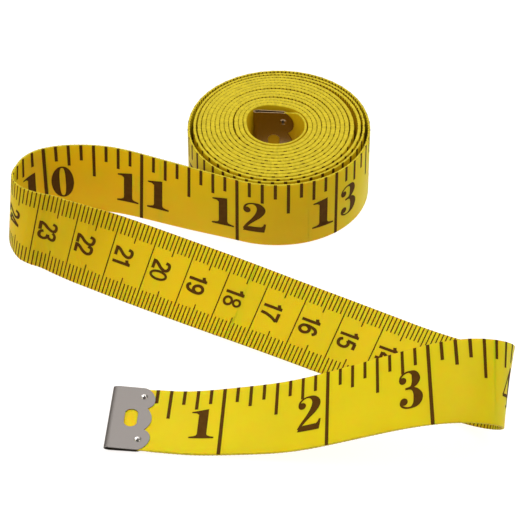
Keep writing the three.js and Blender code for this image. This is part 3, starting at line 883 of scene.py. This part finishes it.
def stretches():
    """(name, CAD node, spacing, spans across, bodies, joint, low and high scale value)."""
    cuts = [strip.first + FOLD_ROOM, *FREE_CUTS, *(strip.at_angle(angle) for angle in PEEL_CUTS)]
    cuts += [strip.at_angle(COIL_ANGLE - CORE_CUT), strip.last - FOLD_ROOM]
    rows = [
        ("strip_outer_end", "tape_outer_end", 0.5, 8, ("front_run", "outer_end"), "tip_lift"),
        ("strip_front_run", "tape_front_run", 0.5, 8, ("right_bend_2", "front_run"), "right_loop_3"),
        ("strip_right_bend", "tape_right_bend_2", 0.4, 8, ("right_bend_1", "right_bend_2"), "right_loop_2"),
        ("strip_right_rise", "tape_right_bend_1", 0.5, 8, ("middle_run", "right_bend_1"), "right_loop_1"),
        ("strip_middle_run", "tape_middle_run", 0.5, 8, ("left_bend_2", "middle_run"), "left_loop_3"),
        ("strip_left_bend", "tape_left_bend_2", 0.4, 8, ("left_bend_1", "left_bend_2"), "left_loop_2"),
        ("strip_left_turn", "tape_left_bend_1", 0.4, 1, ("back_run", "left_bend_1"), "left_loop_1"),
        ("strip_back_run", "tape_back_run", 0.5, 1, ("peel_3", "back_run"), "unroll_4"),
        ("strip_peel_3", "tape_peel_3", 0.5, 1, ("peel_2", "peel_3"), "unroll_3"),
        ("strip_peel_2", "tape_peel_2", 0.5, 1, ("peel_1", "peel_2"), "unroll_2"),
        ("strip_peel_1", "tape_peel_1", 0.5, 1, ("coil", "peel_1"), "unroll_1"),
        ("strip_coil", "tape_coil", 0.8, 1, ("coil",), None),
        ("strip_inner_end", "tape_inner_end", 0.3, 1, ("coil", "core_end"), "core_flex"),
    ]
    return [(*row, low, high) for row, low, high in zip(rows, cuts, cuts[1:])]


BEND_REACH = 5.2  # how far to each side of a joint a stretch's two end places are taken
UNROLL_REACH = 5.7
OTHER_REACH = {"tip_lift": 0.9, "core_flex": 3.0}
OTHER_REACH.update({f"unroll_{number}": UNROLL_REACH for number in range(1, 5)})
shown = strip.at_angle(SHOWN_ANGLE)
for name, cad_node, spacing, spans, bodies, joint, low, high in stretches():
    cloth = WOUND if bodies[0] == "coil" else TAPE
    pieces = [strip_piece(name, low, high, spacing, spans, cloth)]
    for side, shapes in ((1, inch_print(low, high, shown)), (-1, centimetre_print(low, high, shown))):
        label = "_inches" if side > 0 else "_centimetres"
        laid = print_piece(name + label, shapes, low, high, side, spacing, spans)
        if laid:
            pieces.append(laid)
    if joint:
        hinge = np.array(JOINTS[joint]["pos_m"])
        near = strip.scale[np.argmin(np.linalg.norm(strip.point * MM - hinge, axis=1))]
        reach = OTHER_REACH.get(joint, BEND_REACH)
        ends = [strip.place(near + reach), strip.place(near - reach)]
    for piece in pieces:
        if joint:
            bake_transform(piece)
        else:
            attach(piece, bodies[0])
    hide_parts(cad_node)


# The folded tips: distances along a tip run from the fold's end
TIP_WALL = 0.18
TIP_HALF_WIDTH = WIDTH / 2 + 0.05
TIP_RIM = 0.05  # how far the plate's rims are rounded
FOLD_LENGTH = 1.15
FOLD_HALF = 0.53  # half the tip's thickness at the fold
END_HALF = 0.39  # and at its scalloped end
FOLD_STEPS = 16
FOLD_FLAT = 0.994  # share of the half width up to which the fold's ends aren't rounded
SLOT_RADIUS = 1.6
SLOT_HALF = 1.25  # half the straight length between the slot's round ends
SLOT_CENTRE = 5.2

# Round dents that stake the strip, with rings at shares of the radius, from the rim to the prick's bottom
DENTS = [(7.5, 7.0), (7.5, -6.6)]
DENT_RADIUS = 0.88
DENT_DEPTH = 0.26
DENT_LIFT = 0.006  # the rim lies this far over the leaf
DENT_SLANT = 0.3  # how far the bottom lies to one side, as a share of the radius
DENT_HOLE = 0.45
DENT_RINGS = (1.12, 1.0, 0.88, 0.74, DENT_HOLE, 0.4, 0.2)
DENT_HIGHLIGHT = 0.95  # inside this share the dent's flank takes a paler nickel: a painted highlight
SHADE_WEDGE_FROM = 0.8  # inside this share two wedges, on two sides of the prick, are painted shade
SHADE_WEDGE_WIDTH = 0.3
PLATING_SLOT, HOLE_SHADE_SLOT, HIGHLIGHT_SLOT = range(3)  # a tip's materials: its plating, painted shade for the prick, and the dents' flanks, which carry painted highlight or painted reflection


def tip_height(x):
    """The outer surface's height over the strip's middle, at a distance from the fold's end."""
    share = (x - FOLD_LENGTH) / (TIP_LENGTH - FOLD_LENGTH)
    return FOLD_HALF + (END_HALF - FOLD_HALF) * share


def bezier(points, steps=10):
    """Places along a cubic curve, without its start."""
    places = []
    for t in np.arange(1, steps + 1) / steps:
        weights = [(1 - t) ** 3, 3 * t * (1 - t) ** 2, 3 * t**2 * (1 - t), t**3]
        places.append(tuple(sum(w * p[k] for w, p in zip(weights, points)) for k in range(2)))
    return places


def leaf_outline():
    """A leaf seen flat, from the fold to three scallops, and its slot."""
    half = TIP_HALF_WIDTH
    notch, valley, shoulder = half - 6.4, TIP_LENGTH - 1.3, TIP_LENGTH - 2.5
    corner, crest, flank, lobe = shoulder + 1.9, TIP_LENGTH + 2, half - 4.6, TIP_LENGTH + 0.47
    line = [(FOLD_LENGTH, -half), (shoulder, -half)]
    line += bezier([(shoulder, -half), (corner, -half), (crest, -flank), (valley, -notch)])
    line += bezier([(valley, -notch), (lobe, -notch / 3), (lobe, notch / 3), (valley, notch)])
    line += bezier([(valley, notch), (crest, flank), (corner, half), (shoulder, half)])
    line.append((FOLD_LENGTH, half))
    rounds = [(x, y) for x, y in circle(0, 0, SLOT_RADIUS) if abs(y) > 0.01]
    return line, [(x + SLOT_CENTRE, y + math.copysign(SLOT_HALF, y)) for x, y in rounds]


def leaf(name, holes, line):
    """A flat plate with rounded rims, as a mesh, in millimetres."""
    curve = bpy.data.curves.new(name, "CURVE")
    curve.dimensions = "2D"
    curve.fill_mode = "BOTH"
    curve.extrude = TIP_WALL / 2 - TIP_RIM
    curve.bevel_depth = TIP_RIM
    curve.bevel_resolution = 2
    for points in [line, *holes]:
        spline = curve.splines.new("POLY")
        spline.points.add(len(points) - 1)
        for spot, (x, y) in zip(spline.points, points):
            spot.co = (x, y, 0, 1)
        spline.use_cyclic_u = True
    holder = bpy.data.objects.new(name, curve)
    bpy.context.scene.collection.objects.link(holder)
    bpy.context.view_layer.update()
    mesh = bpy.data.meshes.new_from_object(holder.evaluated_get(bpy.context.evaluated_depsgraph_get()))
    bpy.data.objects.remove(holder)
    bpy.data.curves.remove(curve)
    return mesh


def add_dent(made, x, y, side):
    """A round patch over the leaf's hole, pressed in, with the prick at its bottom. The bottom is closed, and
    painted shade stands for the prick's hole and for two wedges beside it.
    """
    rings = []
    for share in DENT_RINGS:
        depth = DENT_DEPTH * max(0, 1 - share**2)
        level = side * (tip_height(x) + DENT_LIFT - depth)
        shift = -DENT_SLANT * max(0, 1 - share)
        ring = []
        for along, over in circle(0, 0, share):
            place = (x + along * DENT_RADIUS, y + (over + shift) * DENT_RADIUS, level)
            ring.append(made.verts.new(place))
        rings.append(ring)
    for share, outer, inner in zip(DENT_RINGS, rings, rings[1:]):
        for k in range(len(outer)):
            after = (k + 1) % len(outer)
            quad = [outer[k], outer[after], inner[after], inner[k]]
            sideways = abs(math.cos(2 * math.pi * (k + 0.5) / len(outer)))
            # two wedges beside the prick are painted shade
            in_shade_wedge = share < SHADE_WEDGE_FROM and sideways < SHADE_WEDGE_WIDTH
            # the inner flank takes the flank material: painted highlight on the outer tip, painted reflection
            # on the inner one
            slot = HIGHLIGHT_SLOT if share < DENT_HIGHLIGHT else PLATING_SLOT
            if in_shade_wedge or share <= DENT_HOLE:
                slot = HOLE_SHADE_SLOT
            made.faces.new(quad if side > 0 else quad[::-1]).material_index = slot
    # the closed bottom is painted shade in place of the prick's hole
    made.faces.new(rings[-1] if side > 0 else rings[-1][::-1]).material_index = HOLE_SHADE_SLOT


def add_fold(made):
    """The open fold between the leaves: half a flat tube."""
    rings = []
    for y, inset in ((-1, TIP_RIM), (-FOLD_FLAT, 0.0), (FOLD_FLAT, 0.0), (1, TIP_RIM)):
        ring = []
        outside = (FOLD_LENGTH - inset, FOLD_HALF - inset, 1)
        inside = (FOLD_LENGTH - TIP_WALL + inset, FOLD_HALF - TIP_WALL + inset, -1)
        for long, high, order in (outside, inside):
            for i in range(FOLD_STEPS + 1)[::order]:
                t = math.pi / 2 + math.pi * i / FOLD_STEPS
                place = (FOLD_LENGTH + long * math.cos(t), y * TIP_HALF_WIDTH, high * math.sin(t))
                ring.append(made.verts.new(place))
        rings.append(ring)
    count = len(rings[0])
    for a, b in zip(rings, rings[1:]):
        for k in range(count):
            made.faces.new([a[k], a[(k + 1) % count], b[(k + 1) % count], b[k]])
    made.faces.new(rings[0][::-1])
    made.faces.new(rings[-1])


def tip_piece(name, cad_node, body, origin, back, across, plating, painted_flank):
    """A tip at the strip's end: two leaves, the fold between them and the staked dents."""
    line, slot = leaf_outline()
    made = bmesh.new()
    for side in (1, -1):
        mesh = leaf(name + "_leaf", [slot, *(circle(x, y, DENT_RADIUS) for x, y in DENTS)], line)
        for vertex in mesh.vertices:
            vertex.co.z = side * (tip_height(vertex.co.x) - TIP_WALL / 2 + vertex.co.z)
        if side < 0:
            mesh.flip_normals()
        made.from_mesh(mesh)
        bpy.data.meshes.remove(mesh)
        for x, y in DENTS:
            add_dent(made, x, y, side)
    add_fold(made)
    bmesh.ops.recalc_face_normals(made, faces=made.faces[:])
    mesh = bpy.data.meshes.new(name)
    made.to_mesh(mesh)
    made.free()
    for each in (plating, HOLE_SHADE_PAINT, painted_flank):
        mesh.materials.append(each)
    mesh.polygons.foreach_set("use_smooth", [True] * len(mesh.polygons))
    mesh.set_sharp_from_angle(angle=math.radians(25))
    x, y = Vector(back).normalized(), Vector(across).normalized()
    place = Matrix((x, y, x.cross(y))).transposed().to_4x4()
    place.translation = Vector(origin) * MM
    mesh.transform(place @ Matrix.Scale(MM, 4))
    piece = bpy.data.objects.new(name, mesh)
    bpy.context.scene.collection.objects.link(piece)
    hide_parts(cad_node)
    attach(piece, body)


outer_place = (strip.point[0], -strip.along[0], strip.across[0])
inner_place = (strip.point[-1], strip.along[-1], strip.across[-1])
tip_piece("tip_outer", "outer_tip", "outer_end", *outer_place, NICKEL, NICKEL_PAINTED_HIGHLIGHT)
# the inner tip's plate and dents take the nickel with the painted reflection
tip_piece("tip_inner", "inner_tip", "core_end", *inner_place, NICKEL_WITH_PAINTED_REFLECTION, NICKEL_WITH_PAINTED_REFLECTION)


# Stage: a pale floor and soft light all round, strongest from above, in metres
FLOOR_HALF = 3
FLOOR_LEVEL = -0.00005
FLOOR_GLOW = (1, 0.97, 0.95, 1)
LAMPS = [  # name, place, size across and power: each is aimed at the origin
    ("top", (0.2, 0.08, 0.9), 1.0, 7.7),
    ("left", (-0.7, -0.35, 0.45), 0.8, 2.8),
    ("back", (0.0, 1.0, 0.45), 1.2, 6.0),
]


def make_stage():
    mesh = bpy.data.meshes.new("floor")
    corners = [(x * FLOOR_HALF, y * FLOOR_HALF, 0) for x, y in ((-1, -1), (1, -1), (1, 1), (-1, 1))]
    mesh.from_pydata(corners, [], [(0, 1, 2, 3)])
    floor = bpy.data.objects.new("floor", mesh)
    floor.location.z = FLOOR_LEVEL
    glow = {"Emission_Color": FLOOR_GLOW, "Emission_Strength": 0.93}
    mesh.materials.append(material("pale_floor", (0.2, 0.2, 0.2), 0.8, **glow)[0])
    bpy.context.scene.collection.objects.link(floor)
    world = bpy.data.worlds.new("studio")
    world.use_nodes = True
    world.node_tree.nodes["Background"].inputs["Color"].default_value = (1, 0.95, 0.86, 1)
    world.node_tree.nodes["Background"].inputs["Strength"].default_value = 0.36
    bpy.context.scene.world = world
    for name, spot, size, power in LAMPS:
        lamp = bpy.data.lights.new(name, "AREA")
        lamp.shape = "DISK"
        lamp.size = size
        lamp.energy = power
        holder = bpy.data.objects.new(name, lamp)
        holder.location = spot
        holder.rotation_mode = "QUATERNION"
        holder.rotation_quaternion = (-Vector(spot)).to_track_quat("-Z", "Y")
        bpy.context.scene.collection.objects.link(holder)


make_stage()
